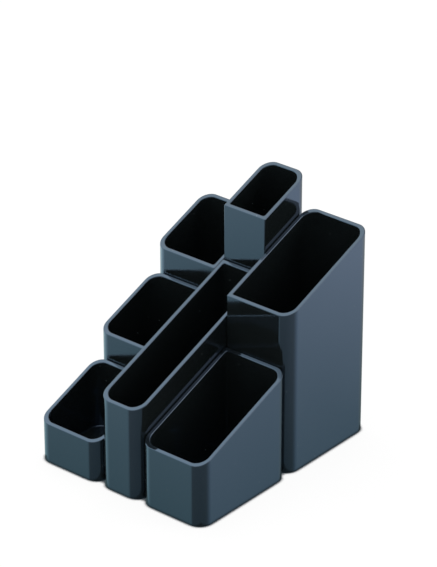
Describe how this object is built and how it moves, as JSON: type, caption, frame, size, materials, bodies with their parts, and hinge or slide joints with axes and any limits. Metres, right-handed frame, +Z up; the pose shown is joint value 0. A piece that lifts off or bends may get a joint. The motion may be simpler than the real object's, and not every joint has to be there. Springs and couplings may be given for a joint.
{
  "type": "stepped desk organizer",
  "caption": "Stepped desk organizer of separate open cups with sloping rims that slide together side by side on hidden dovetail rails.",
  "frame": {"origin": "middle of the footprint, on the surface that the organizer stands on", "axes": "+X to the right and +Y to the back, seen from the low front; +Z up"},
  "size_m": [0.1018, 0.124, 0.1253],
  "materials": {
    "dark_gloss_plastic": "high gloss, very dark slate blue"
  },
  "bodies": {
    "low_tray": {"low_tray": "dark_gloss_plastic"},
    "left_middle_cup": {"left_middle_cup": "dark_gloss_plastic"},
    "left_back_cup": {"left_back_cup": "dark_gloss_plastic"},
    "centre_slot": {"centre_slot": "dark_gloss_plastic"},
    "tower": {"tower": "dark_gloss_plastic"},
    "front_bin": {"front_bin": "dark_gloss_plastic"},
    "right_back_cup": {"right_back_cup": "dark_gloss_plastic"}
  },
  "joints": [
    {"name": "low_tray_lift", "type": "slide", "parent": "centre_slot", "child": "low_tray", "axis": [0, 0, 1], "range_m": [0, 0.023]},
    {"name": "left_middle_cup_lift", "type": "slide", "parent": "centre_slot", "child": "left_middle_cup", "axis": [0, 0, 1], "range_m": [0, 0.053]},
    {"name": "tower_lift", "type": "slide", "parent": "centre_slot", "child": "tower", "axis": [0, 0, 1], "range_m": [0, 0.078]},
    {"name": "front_bin_lift", "type": "slide", "parent": "centre_slot", "child": "front_bin", "axis": [0, 0, 1], "range_m": [0, 0.038]},
    {"name": "right_back_cup_lift", "type": "slide", "parent": "centre_slot", "child": "right_back_cup", "axis": [0, 0, 1], "range_m": [0, 0.072]},
    {"name": "left_back_cup_lift", "type": "slide", "parent": "tower", "child": "left_back_cup", "axis": [0, 0, 1], "range_m": [0, 0.084]}
  ]
}
